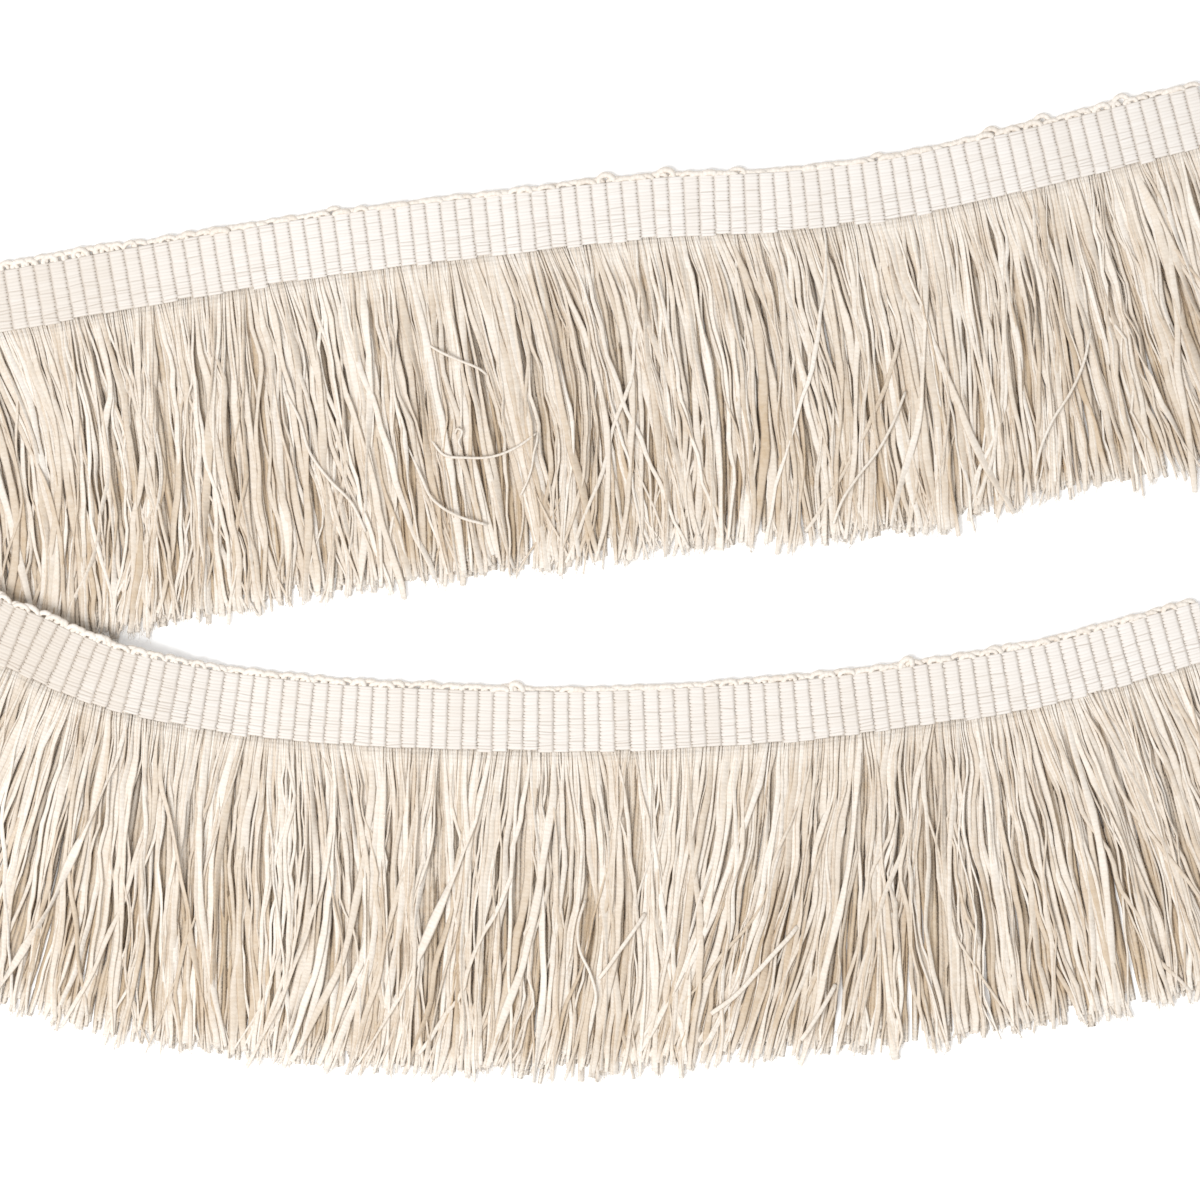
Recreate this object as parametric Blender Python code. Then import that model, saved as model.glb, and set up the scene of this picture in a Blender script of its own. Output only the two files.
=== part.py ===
"""Chainette fringe trim: one length that lies on the floor in two passes, with one soft fold between them.

Metres, +Z up. +X runs along the passes, the fringe points to -Y, and the floor is at z = 0.
"""

import math

import bmesh
import bpy
import numpy as np

# Heading: a woven tape with ribs across it and small loops along its top edge.
HEADING_WIDTH = 0.016
HEADING_THICKNESS = 0.0022
RIB_PITCH = 0.004
RIB_DEPTH = 0.0006
SHOULDER_WIDTH = 0.0014
EDGE_DROP = 0.0007
LOOP_REACH = 0.0013

PIECE_GAP = 0.0003

# Fringe: locks of yarn on a narrow strip, which is parted from the heading's lower edge.
FRINGE_LENGTH = 0.0845
STRIP_WIDTH = 0.0012
LOCK_PITCH = 0.0027
LOCK_ROOT_WIDTH = 0.0021
LOCKS_PER_CLUMP = (3, 5)
CLUMP_GATHER = 0.3
GATHER_POWER = 1.5
CLUMP_WANDER = 0.0007
CLUMP_UNEVENNESS = 0.0022
LOCK_UNEVENNESS = 0.0012
TOP_NARROWING = 0.75

# A row for each section of a lock: share of its length, width, thickness, share of the lift it keeps.
LOCK_SECTIONS = (
    (0.33, 0.0020, 0.0026, 1.0),
    (0.60, 0.0017, 0.0022, 0.0),
    (1.00, 0.0011, 0.0013, 0.0),
)

# The soft fold: the heading rolls over on this radius, measured at its middle layer.
FOLD_RADIUS = 0.0023
FOLD_PLACE = (-0.0238, 0.2334)
FOLD_ANGLE = math.radians(232.4)
SKEW_REACH = 0.024

# The second pass comes down from its lift between these two places on X, once it is past the first pass.
DESCENT_START = 0.030
DESCENT_END = 0.066

# The part's origin is under the middle of its box, at this place in the tables below.
ORIGIN = (0.11046, 0.16392)

# A row for each place on the heading's middle line: x, y, and the fringe's lean in degrees.
# The lean is measured from straight down the page (-Y), and it is positive towards +X.
FIRST_PASS = (
    (0.3181, 0.2864, 10),
    (0.2920, 0.2797, 7),
    (0.2650, 0.2732, 2),
    (0.2380, 0.2674, 3),
    (0.2100, 0.2638, 5),
    (0.1729, 0.2618, 1),
    (0.1360, 0.2578, 2),
    (0.0920, 0.2526, 3),
    (0.0540, 0.2466, 7),
    (0.0000, 0.2372, 9),
    (-0.0120, 0.2353, 9),
)
SECOND_PASS = (
    (-0.0222, 0.2140, -86),
    (-0.0192, 0.1870, -80),
    (-0.0160, 0.1700, -68),
    (-0.0090, 0.1560, -50),
    (0.0000, 0.1503, -32),
    (0.0079, 0.1470, -27),
    (0.0172, 0.1426, -20),
    (0.0296, 0.1379, -12),
    (0.0504, 0.1331, -5),
    (0.0808, 0.1290, -2),
    (0.1191, 0.1269, -1),
    (0.1500, 0.1264, 0),
    (0.1798, 0.1274, 0),
    (0.2112, 0.1294, 1),
    (0.2381, 0.1327, 3),
    (0.2685, 0.1372, 6),
    (0.3181, 0.1502, 11),
)

# A row for each stretch of the heading: its name, and its start and end as shares of the whole length.
HEADING_STRETCHES = (
    ("heading_first_pass", 0.00, 0.42),
    ("heading_turn", 0.42, 0.61),
    ("heading_second_pass", 0.61, 1.00),
)

# A row for each stretch of fringe: its name, and its start and end as shares of its pass.
FIRST_PASS_FRINGES = (
    ("fringe_upper_right", 0.00, 0.50),
    ("fringe_upper_left", 0.50, 1.00),
)
SECOND_PASS_FRINGES = (
    ("fringe_turn_back", 0.00, 0.09),
    ("fringe_turn_side", 0.09, 0.18),
    ("fringe_turn_front", 0.18, 0.27),
    ("fringe_lower_left", 0.27, 0.51),
    ("fringe_lower_middle", 0.51, 0.76),
    ("fringe_lower_right", 0.76, 1.00),
)

COLLECTION = "chainette_fringe_trim"
HEADING_COLOUR = (0.90, 0.85, 0.77)
YARN_COLOUR = (0.76, 0.68, 0.57)
CLOTH_ROUGHNESS = 0.9
SEED = 11

# Steps of the curve between two rows, and steps in a search along the whole trim.
STEPS_BETWEEN_ROWS = 24
SEARCH_STEPS = 4000

FOLD_ALONG = np.array([math.cos(FOLD_ANGLE), math.sin(FOLD_ANGLE)])
FOLD_ACROSS = np.array([FOLD_ALONG[1], -FOLD_ALONG[0]])
FOLD_ARC = math.pi * FOLD_RADIUS
LIFT = 2 * FOLD_RADIUS


def clear_scene():
    for thing in list(bpy.data.objects):
        bpy.data.objects.remove(thing, do_unlink=True)


def cloth_material(name, colour):
    material = bpy.data.materials.new(name)
    material.use_nodes = True
    shader = material.node_tree.nodes["Principled BSDF"]
    shader.inputs["Base Color"].default_value = (*colour, 1.0)
    shader.inputs["Roughness"].default_value = CLOTH_ROUGHNESS
    shader.inputs["Metallic"].default_value = 0.0
    return material


def beyond_fold(place):
    """How far each place is past the fold line, at right angles to it."""
    return (place - np.array(FOLD_PLACE)) @ FOLD_ACROSS


def unfolded(place):
    """Where a place on the second pass would be, had the trim run on flat past the fold."""
    past = FOLD_ARC - beyond_fold(place)
    along = (place - np.array(FOLD_PLACE)) @ FOLD_ALONG
    return np.array(FOLD_PLACE) + along * FOLD_ALONG + past * FOLD_ACROSS


def laid(place, height):
    """Unfolded places as they lie: flat before the fold, round its half turn, then flat and face down."""
    past = beyond_fold(place)
    along = (place - np.array(FOLD_PLACE)) @ FOLD_ALONG
    turn = np.clip(past / FOLD_RADIUS, 0.0, math.pi)
    flat_after = np.maximum(past - FOLD_ARC, 0.0)
    flat_before = np.minimum(past, 0.0)
    across = flat_before + FOLD_RADIUS * np.sin(turn) - flat_after - height * np.sin(turn)
    up = FOLD_RADIUS * (1.0 - np.cos(turn)) + height * np.cos(turn) + HEADING_THICKNESS / 2
    level = np.array(FOLD_PLACE) + along[..., None] * FOLD_ALONG + across[..., None] * FOLD_ACROSS
    return np.concatenate([level, up[..., None]], axis=-1)


def smooth_places(rows):
    """Places on the cubic curve through the given ones, whose slope at a row comes from its neighbours."""
    rows = np.array(rows, float)
    chord = np.linalg.norm(np.diff(rows, axis=0), axis=1)
    at = np.concatenate([[0.0], np.cumsum(chord)])
    slope = np.gradient(rows, at, axis=0)
    t = np.linspace(0.0, 1.0, STEPS_BETWEEN_ROWS, endpoint=False)[None, :, None]
    start, end = rows[:-1, None], rows[1:, None]
    gap = chord[:, None, None]
    curve = (2 * t**3 - 3 * t**2 + 1) * start + (t**3 - 2 * t**2 + t) * gap * slope[:-1, None]
    curve = curve + (3 * t**2 - 2 * t**3) * end + (t**3 - t**2) * gap * slope[1:, None]
    return np.concatenate([curve.reshape(-1, 2), rows[-1:]])


class Route:
    """The heading's middle line in the unfolded plane, read by the length along it."""

    def __init__(self):
        first = [row[:2] for row in FIRST_PASS]
        second = [unfolded(np.array(row[:2])) for row in SECOND_PASS]
        self.places = smooth_places(first + second)
        steps = np.linalg.norm(np.diff(self.places, axis=0), axis=1)
        self.at = np.concatenate([[0.0], np.cumsum(steps)])
        self.length = self.at[-1]
        self.slope = np.gradient(self.places, self.at, axis=0)
        self.row_at = self.at[::STEPS_BETWEEN_ROWS]

    def read(self, column, along):
        return np.interp(along, self.at, column)

    def middle(self, along):
        return np.stack([self.read(self.places[:, 0], along), self.read(self.places[:, 1], along)], -1)

    def lean(self, along):
        """The fringe's lean in radians: it jumps at the fold, and changes evenly between rows elsewhere."""
        count = len(FIRST_PASS)
        first = np.interp(along, self.row_at[:count], [row[2] for row in FIRST_PASS])
        second = np.interp(along, self.row_at[count:], [row[2] for row in SECOND_PASS])
        return np.radians(np.where(self.turned_over(along), second, first))

    def side(self, along):
        """The direction across the heading, from its top edge towards the fringe."""
        tangent = np.stack([self.read(self.slope[:, 0], along), self.read(self.slope[:, 1], along)], -1)
        tangent /= np.linalg.norm(tangent, axis=-1, keepdims=True)
        return np.stack([-tangent[..., 1], tangent[..., 0]], -1)

    def turned_over(self, along):
        """True where the heading's root edge is past the fold, so that the trim lies face down."""
        edge = self.middle(along) + self.side(along) * HEADING_WIDTH / 2
        return beyond_fold(edge) > FOLD_ARC

    def lift(self, along):
        """Height of the trim's underside over the floor: full past the fold, none once it has come down."""
        x = laid(self.middle(along), np.zeros(np.shape(along)))[..., 0]
        share = np.clip((DESCENT_END - x) / (DESCENT_END - DESCENT_START), 0.0, 1.0)
        eased = share * share * (3.0 - 2.0 * share)
        return np.where(self.turned_over(along), LIFT * eased, 0.0)

    def fold_skew(self, along):
        """How far a ring shifts along for each metre across, so that it lies along the fold line there."""
        middle = self.at[np.argmax(beyond_fold(self.places) > FOLD_ARC / 2)]
        side = self.side(middle)
        travel = np.array([side[1], -side[0]])
        at_fold = (FOLD_ALONG @ travel) / (FOLD_ALONG @ side)
        roll_half = FOLD_ARC / 2 / abs(FOLD_ACROSS @ travel)
        share = np.clip(1.0 - (np.abs(along - middle) - roll_half) / SKEW_REACH, 0.0, 1.0)
        return at_fold * share * share * (3.0 - 2.0 * share)

    def surface(self, along, across, height):
        """Points of the trim, with across measured from the middle line and height from the middle layer."""
        place = self.middle(along) + self.side(along) * across[..., None]
        points = laid(place, height)
        drop = np.where(self.turned_over(along), LIFT - self.lift(along), 0.0)
        points[..., 2] -= drop
        points[..., :2] -= np.array(ORIGIN)
        return points

    def where_edge_passes(self, across_fold):
        """The length at which the root edge has come this far past the fold line."""
        along = np.linspace(0.0, self.length, SEARCH_STEPS)
        edge = self.middle(along) + self.side(along) * (HEADING_WIDTH / 2 + PIECE_GAP + STRIP_WIDTH)
        return along[np.argmax(beyond_fold(edge) > across_fold)]


def mesh_object(name, mesh, colour, collection):
    made = bpy.data.objects.new(name, mesh)
    made.data.materials.append(cloth_material(name, colour))
    collection.objects.link(made)


def lofted(rings):
    """A bmesh tube through rings of equal length, with filled ends, and its side faces by ring and place."""
    shape = bmesh.new()
    corners = [[shape.verts.new(point) for point in ring] for ring in rings]
    count = len(rings[0])
    sides = []
    for before, after in zip(corners, corners[1:]):
        sides.append(
            [
                shape.faces.new((before[k], before[(k + 1) % count], after[(k + 1) % count], after[k]))
                for k in range(count)
            ]
        )
    shape.faces.new(corners[0][::-1])
    shape.faces.new(corners[-1])
    return shape, sides


def finished(shape, name):
    bmesh.ops.recalc_face_normals(shape, faces=shape.faces)
    mesh = bpy.data.meshes.new(name)
    shape.to_mesh(mesh)
    shape.free()
    return mesh


def heading_mesh(name, route, first_share, last_share, chance):
    """Ribbed tape: a ring at each rib's crest and at each valley, ribs raised on the side that faces up."""
    ribs = round(route.length / RIB_PITCH)
    first, last = 2 * round(ribs * first_share), 2 * round(ribs * last_share)
    number = np.arange(first, last + 1)
    along = number * route.length / (2 * ribs)
    along[0] += PIECE_GAP / 2
    along[-1] -= PIECE_GAP / 2
    crest = number % 2 == 1
    loop = np.where(crest, LOOP_REACH * chance.uniform(0.6, 1.4, len(number)), 0.0)
    half = HEADING_THICKNESS / 2
    raised = np.where(crest, half, half - RIB_DEPTH)
    over = beyond_fold(route.middle(along)) > FOLD_ARC / 2
    skew = route.fold_skew(along)
    front = np.where(over, half, raised)
    back = np.where(over, -raised, -half)
    front_edge = np.where(over, half, raised - EDGE_DROP)
    back_edge = np.where(over, EDGE_DROP - raised, -half)
    top = -HEADING_WIDTH / 2 - loop
    shoulder = np.full(len(number), SHOULDER_WIDTH - HEADING_WIDTH / 2)
    root = np.full(len(number), HEADING_WIDTH / 2)
    outline = (
        (top, back_edge),
        (shoulder, back),
        (root, back),
        (root, front),
        (shoulder, front),
        (top, front_edge),
    )
    rings = [route.surface(along + skew * across, across, height) for across, height in outline]
    shape, _ = lofted(np.stack(rings, axis=1))
    return finished(shape, name)


def clumped(count, chance):
    """The middle of the clump that each lock belongs to, as a lock number, and the clump's number."""
    middle = np.empty(count)
    number = np.empty(count, int)
    start, clump = 0, 0
    while start < count:
        end = min(start + chance.integers(LOCKS_PER_CLUMP[0], LOCKS_PER_CLUMP[1] + 1), count)
        middle[start:end] = (start + end - 1) / 2
        number[start:end] = clump
        start, clump = end, clump + 1
    return middle, number


def lock_corners(root, travel, direction, section, length, sideways, lift, over):
    """The four corners of one section of a lock, in the order of the root face that it grows from."""
    share, width, thickness, kept = section
    centre = root + direction * (length * share) + travel * (sideways * share**GATHER_POWER)
    low, high = lift * kept, lift * kept + thickness
    levels = ((low, 1.0), (high, TOP_NARROWING))
    first, second = levels[::-1] if over else levels
    order = ((-1, first), (-1, second), (1, second), (1, first))
    return [
        (*(centre + travel * (sign * width * narrowing / 2)), height)
        for sign, (height, narrowing) in order
    ]


def fringe_mesh(name, route, start, end, chance):
    """A strip beside the heading's root edge, with a lock drawn out of it at every lock pitch."""
    count = int((end - start) / LOCK_PITCH)
    middles = start + (np.arange(count) + 0.5) * (end - start) / count
    edges = np.stack([middles - LOCK_ROOT_WIDTH / 2, middles + LOCK_ROOT_WIDTH / 2], axis=1)
    along = np.concatenate([[start], edges.reshape(-1), [end]])
    inner = np.full(len(along), HEADING_WIDTH / 2 + PIECE_GAP)
    outer = inner + STRIP_WIDTH
    half = np.full(len(along), HEADING_THICKNESS / 2)
    outline = ((inner, -half), (outer, -half), (outer, half), (inner, half))
    rings = np.stack([route.surface(along, across, height) for across, height in outline], axis=1)
    shape, sides = lofted(rings)
    tips = [sides[2 * k + 1][1] for k in range(count)]

    clump_middle, clump = clumped(count, chance)
    wander = chance.uniform(-CLUMP_WANDER, CLUMP_WANDER, clump[-1] + 1)[clump]
    sideways = (clump_middle - np.arange(count)) * LOCK_PITCH * CLUMP_GATHER + wander
    length = FRINGE_LENGTH - PIECE_GAP - STRIP_WIDTH
    length = length + chance.uniform(-CLUMP_UNEVENNESS, CLUMP_UNEVENNESS, clump[-1] + 1)[clump]
    length = length + chance.uniform(-LOCK_UNEVENNESS, LOCK_UNEVENNESS, count)
    lean = route.lean(middles)
    direction = np.stack([np.sin(lean), -np.cos(lean)], axis=-1)
    travel = np.stack([direction[:, 1], -direction[:, 0]], axis=-1)
    roots = rings[1:-1, 1:3, :2].reshape(count, 4, 2).mean(axis=1)
    lift = route.lift(middles)
    over = route.turned_over(middles)
    travel = np.where(over[:, None], -travel, travel)
    for k, tip in enumerate(tips):
        for section in LOCK_SECTIONS:
            tip = bmesh.ops.extrude_discrete_faces(shape, faces=[tip])["faces"][0]
            corners = lock_corners(
                roots[k], travel[k], direction[k], section, length[k], sideways[k], lift[k], over[k]
            )
            for vertex, corner in zip(tip.verts, corners):
                vertex.co = corner
    return finished(shape, name)


def main():
    clear_scene()
    collection = bpy.data.collections.new(COLLECTION)
    bpy.context.scene.collection.children.link(collection)
    chance = np.random.default_rng(SEED)
    route = Route()
    for name, first_share, last_share in HEADING_STRETCHES:
        mesh = heading_mesh(name, route, first_share, last_share, chance)
        mesh_object(name, mesh, HEADING_COLOUR, collection)
    fold_start = route.where_edge_passes(-STRIP_WIDTH)
    fold_end = route.where_edge_passes(FOLD_ARC)
    passes = (
        (FIRST_PASS_FRINGES, 0.0, fold_start),
        (SECOND_PASS_FRINGES, fold_end, route.length),
    )
    for fringes, pass_start, pass_end in passes:
        for name, first_share, last_share in fringes:
            start = pass_start + (pass_end - pass_start) * first_share + PIECE_GAP / 2
            end = pass_start + (pass_end - pass_start) * last_share - PIECE_GAP / 2
            mesh = fringe_mesh(name, route, start, end, chance)
            mesh_object(name, mesh, YARN_COLOUR, collection)


main()
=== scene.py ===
import math

import bpy
import numpy as np
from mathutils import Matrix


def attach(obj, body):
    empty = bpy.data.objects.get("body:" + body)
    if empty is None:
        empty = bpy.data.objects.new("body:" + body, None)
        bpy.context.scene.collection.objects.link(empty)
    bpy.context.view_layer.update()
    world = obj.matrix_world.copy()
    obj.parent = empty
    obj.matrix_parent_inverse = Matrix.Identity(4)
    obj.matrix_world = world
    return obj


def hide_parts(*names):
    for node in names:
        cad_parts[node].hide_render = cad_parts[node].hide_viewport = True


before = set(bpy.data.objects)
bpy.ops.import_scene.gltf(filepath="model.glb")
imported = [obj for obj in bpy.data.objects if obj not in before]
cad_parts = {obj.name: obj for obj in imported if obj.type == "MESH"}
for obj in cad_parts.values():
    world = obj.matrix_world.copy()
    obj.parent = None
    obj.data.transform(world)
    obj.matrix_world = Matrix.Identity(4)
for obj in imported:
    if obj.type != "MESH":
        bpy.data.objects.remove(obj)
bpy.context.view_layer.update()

# Places are in metres from the lower left corner of the photographed square, where originPlace is the origin.
photo = {"pixels": 1200, "metresPerPixel": 0.000264}
originPlace = np.array([0.11046, 0.16392])

# Of the tones and their reach, each pair is for the first pass and the second. A groove shade is the share of
# the valley colour, painted shade in the valleys between ribs, between the threads and in the hairlines.
heading = {
    "width": 0.016,
    "thickness": 0.0022,
    "ribPitch": 0.004,
    "ribDepth": 0.0005,
    "ribPhases": (0.0, 0.06, 0.22, 0.5, 0.78, 0.94),
    "valleyShare": 0.16,
    "ribHeights": (0.0, 0.76, 0.96, 1.0, 0.96, 0.76),
    "threads": 18,
    "threadHeights": (0.0, 0.8, 1.0, 0.8),
    "threadDepth": 0.00013,
    "threadInValley": 0.4,
    "zigzag": 0.00030,
    "zigzagBack": 0.6,
    "toothChance": 0.00009,
    "hairlineDepth": 0.00014,
    "threadWander": 0.00014,
    "edgeRound": 0.0005,
    "topEdgeDrop": 0.0005,
    "rootEdgeDrop": 0.0004,
    "rootEdgeUneven": 0.00024,
    "undersidePoints": 13,
    "undersideRibDepth": 0.00025,
    # painted shade: shares of the valley colour in the grooves between threads, in the valleys between ribs
    # and in the underside's valleys
    "threadGrooveShade": 0.14,
    "valleyCrease": 0.42,
    "undersideValleyShade": 0.6,
    "undersideTone": 0.4,
    "plainTone": (0.14, 0.36),
    "leftTone": (0.52, 0.64),
    "leftReach": (0.09, 0.06),
    "rightTone": (0.12, -0.2),
    "rightFrom": 0.25,
    "rightRun": 0.04,
    "toneSpread": 0.055,
    "seed": 5,
}

# The fold at the left is a half roll along a line. The descent gives the page x at which the second pass
# starts to come down from it, and the page x at which it lies on the floor.
fold = {"place": (-0.0238, 0.2334), "angle": 232.4, "radius": 0.0023}
descent = {"start": 0.030, "end": 0.066}

# Places on the heading's middle line, and the fringe's lean there in degrees from straight down the page.
firstPass = (
    (0.3181, 0.2864, 10),
    (0.2920, 0.2797, 7),
    (0.2650, 0.2732, 2),
    (0.2380, 0.2674, 3),
    (0.2100, 0.2638, 5),
    (0.1729, 0.2618, 1),
    (0.1360, 0.2578, 2),
    (0.0920, 0.2526, 3),
    (0.0540, 0.2466, 7),
    (0.0000, 0.2372, 9),
    (-0.0120, 0.2353, 9),
)
secondPass = (
    (-0.0222, 0.2140, -86),
    (-0.0192, 0.1870, -80),
    (-0.0160, 0.1700, -68),
    (-0.0090, 0.1560, -50),
    (0.0000, 0.1503, -32),
    (0.0079, 0.1470, -27),
    (0.0172, 0.1426, -20),
    (0.0296, 0.1379, -12),
    (0.0504, 0.1331, -5),
    (0.0808, 0.1290, -2),
    (0.1191, 0.1269, -1),
    (0.1500, 0.1264, 0),
    (0.1798, 0.1274, 0),
    (0.2112, 0.1294, 1),
    (0.2381, 0.1327, 3),
    (0.2685, 0.1372, 6),
    (0.3181, 0.1502, 11),
)

# How the yarns bend: the page x of the root in metres, then the directions of the root, the middle and the
# tips, in degrees from straight down the page to the right, as they look in the photo.
firstBends = (
    (0.00, 16, 8, 2),
    (0.03, 9, 9, 9),
    (0.07, 11, 5, 0),
    (0.12, 15, 9, 4),
    (0.18, 11, 5, -2),
    (0.21, 13, 10, 8),
    (0.25, 11, 4, 0),
    (0.29, 18, 17, 20),
)
secondBends = (
    (0.00, -23, -20, -23),
    (0.03, -13, -12, -17),
    (0.06, -2, 0, -4),
    (0.12, -2, -1, -8),
    (0.16, 0, -4, -10),
    (0.20, -4, -11, -17),
    (0.23, 0, -3, -4),
    (0.26, 8, 8, 8),
    (0.29, 15, 15, 9),
)
bendsStartBy = 0.010  # the page x by which the second pass has its whole bend
# How much longer than plain the fringe is cut, in metres: the page x of the root, the first pass, the second.
cutLengths = (
    (0.000, 0.0000, 0.0008),
    (0.060, 0.0003, 0.0012),
    (0.130, 0.0000, 0.0018),
    (0.180, -0.0012, 0.0012),
    (0.240, -0.0010, 0.0008),
    (0.255, -0.0032, 0.0000),
    (0.270, -0.0030, 0.0000),
    (0.285, 0.0000, 0.0006),
)

foldPlace = np.array(fold["place"])
foldAlong = np.array([math.cos(math.radians(fold["angle"])), math.sin(math.radians(fold["angle"]))])
foldAcross = np.array([foldAlong[1], -foldAlong[0]])
foldArc = math.pi * fold["radius"]
fullLift = 2 * fold["radius"]
turnEndsAt = 0.040  # the page x at which the fringe of the turn gives way to the lower fringe
fineSteps = 6000


def eased(share):
    # a share from 0 to 1 along the curve 3x^2 - 2x^3, so that it starts and ends level
    share = np.clip(share, 0.0, 1.0)
    return share * share * (3.0 - 2.0 * share)


def beyondFold(place):
    # how far a place lies past the fold line, square to it
    return (place - foldPlace) @ foldAcross


def unfolded(place):
    # the mirror image of a place across the fold line, moved on by the length of the roll
    along = (place - foldPlace) @ foldAlong
    past = foldArc - beyondFold(place)
    return foldPlace + along * foldAlong + past * foldAcross


def laidDown(place, height):
    # flat before the fold line, then a half circle of the fold's radius, then flat and face down at its top
    along = (place - foldPlace) @ foldAlong
    past = beyondFold(place)
    turn = np.clip(past / fold["radius"], 0.0, math.pi)
    across = np.minimum(past, 0.0) - np.maximum(past - foldArc, 0.0)
    across = across + (fold["radius"] - height) * np.sin(turn)
    up = fold["radius"] * (1.0 - np.cos(turn)) + height * np.cos(turn) + heading["thickness"] / 2
    level = foldPlace + along[..., None] * foldAlong + across[..., None] * foldAcross
    return np.concatenate([level, up[..., None]], axis=-1)


def smoothPlaces(rows, stepsEach):
    # Hermite cubic between rows, with the slope at each row taken from its two neighbours
    rows = np.array(rows, float)
    chord = np.linalg.norm(np.diff(rows, axis=0), axis=1)
    slope = np.gradient(rows, np.concatenate([[0.0], np.cumsum(chord)]), axis=0)
    t = np.linspace(0.0, 1.0, stepsEach, endpoint=False)[None, :, None]
    start, end, gap = rows[:-1, None], rows[1:, None], chord[:, None, None]
    curve = (2 * t**3 - 3 * t**2 + 1) * start + (t**3 - 2 * t**2 + t) * gap * slope[:-1, None]
    curve = curve + (3 * t**2 - 2 * t**3) * end + (t**3 - t**2) * gap * slope[1:, None]
    return np.concatenate([curve.reshape(-1, rows.shape[1]), rows[-1:]])


stepsEach = 24
routePlaces = smoothPlaces(
    [row[:2] for row in firstPass] + [unfolded(np.array(row[:2])) for row in secondPass], stepsEach
)
routeAt = np.concatenate([[0.0], np.cumsum(np.linalg.norm(np.diff(routePlaces, axis=0), axis=1))])
routeSlope = np.gradient(routePlaces, routeAt, axis=0)
routeLength = routeAt[-1]
rowAt = routeAt[::stepsEach]


def readRoute(columns, along):
    # both columns read between the steps of the route, at a length along it
    return np.stack([np.interp(along, routeAt, columns[:, k]) for k in range(2)], axis=-1)


def sideOf(along):
    # the tangent turned a quarter turn, which points from the top edge to the fringe
    tangent = readRoute(routeSlope, along)
    tangent = tangent / np.linalg.norm(tangent, axis=-1, keepdims=True)
    return np.stack([-tangent[..., 1], tangent[..., 0]], axis=-1)


def edgeAt(along, across):
    # a place beside the middle line, by the length along it and the distance across
    return readRoute(routePlaces, along) + sideOf(along) * np.asarray(across)[..., None]


def turnedShare(along):
    # 0 before the roll, 1 after it, and even in between, read at the root edge
    return np.clip(beyondFold(edgeAt(along, heading["width"] / 2)) / foldArc, 0.0, 1.0)


def pageX(along):
    # how far the middle line is from the left side of the photographed square
    return laidDown(readRoute(routePlaces, along), np.zeros(np.shape(along)))[..., 0]


def leanOf(along):
    # the lean of the first pass, which gives way to that of the second as the root edge turns over
    first = np.interp(along, rowAt[: len(firstPass)], [row[2] for row in firstPass])
    second = np.interp(along, rowAt[len(firstPass) :], [row[2] for row in secondPass])
    return np.radians(first + (second - first) * turnedShare(along))


def readRows(rows, x):
    # each column of a short table, read between its rows at the page x
    rows = np.array(rows, float)
    return np.stack([np.interp(x, rows[:, 0], rows[:, k]) for k in range(1, rows.shape[1])])


def bendsOf(along):
    # the lean of the middle and how far the root and the tips turn from it, which fade out towards the fold
    x, turned = pageX(along), turnedShare(along)
    second = turned > 0.5
    root, middle, tip = np.radians(np.where(second, readRows(secondBends, x), readRows(firstBends, x)))
    shown = np.where(second, eased(x / bendsStartBy), 1.0 - eased(2 * turned))
    return leanOf(along) * (1.0 - shown) + middle * shown, (root - middle) * shown, (tip - middle) * shown


def liftOf(along):
    # the whole height of the fold, eased down to the floor once the second pass is clear of the first
    lift = fullLift * eased((descent["end"] - pageX(along)) / (descent["end"] - descent["start"]))
    return np.where(turnedShare(along) >= 1.0, lift, 0.0)


def onTrim(along, across, height):
    # a point of the trim from its length along, its place across, and its height over the middle layer
    points = laidDown(edgeAt(along, across), height)
    drop = np.where(turnedShare(along) >= 1.0, fullLift - liftOf(along), 0.0)
    points[..., 2] -= drop
    points[..., :2] -= originPlace
    return points


def passesLength(share):
    # the length along at which the root edge has turned over by this share
    along = np.linspace(0.0, routeLength, fineSteps)
    return along[np.argmax(turnedShare(along) > share)]


rollStart, rollEnd = passesLength(0.0), passesLength(0.999)  # the second is close to the whole turn


def reachesX(x):
    # the length along at which the second pass has come back to the page x
    along = np.linspace(rollEnd, routeLength, fineSteps)
    return along[np.argmax(pageX(along) > x)]


# mesh making

def meshPiece(name, points, loops, starts, material, attributes):
    # whole arrays put into a mesh, whose object stays at the origin
    mesh = bpy.data.meshes.new(name)
    mesh.vertices.add(len(points))
    mesh.vertices.foreach_set("co", np.ascontiguousarray(points, np.float32).ravel())
    mesh.loops.add(len(loops))
    mesh.loops.foreach_set("vertex_index", np.ascontiguousarray(loops, np.int32))
    mesh.polygons.add(len(starts))
    mesh.polygons.foreach_set("loop_start", np.ascontiguousarray(starts, np.int32))
    mesh.update(calc_edges=True)
    for key, values in attributes.items():
        kept = mesh.attributes.new(key, "FLOAT_VECTOR", "POINT")
        kept.data.foreach_set("vector", np.ascontiguousarray(values, np.float32).ravel())
    mesh.shade_smooth()
    mesh.materials.append(material)
    piece = bpy.data.objects.new(name, mesh)
    bpy.context.scene.collection.objects.link(piece)
    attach(piece, "root")
    return piece


def tubeFaces(tubes, rings, sides, flipped):
    # quads between neighbouring rings of every tube at once, and each end closed by quads across the ring
    ring = np.arange(sides)
    after = np.roll(ring, -1)
    start = (np.arange(tubes) * rings * sides)[:, None, None]
    base = start + np.arange(rings - 1)[:, None] * sides
    quads = np.stack([base + ring, base + after, base + after + sides, base + ring + sides], axis=-1)
    caps = np.array([[0, k, k + 1, k + 2] for k in range(1, sides - 1, 2)]) % sides
    first, last = start + caps[:, ::-1], start + (rings - 1) * sides + caps
    quads = np.concatenate([quads.reshape(-1, 4), first.reshape(-1, 4), last.reshape(-1, 4)])
    return quads[:, ::-1] if flipped else quads


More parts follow.
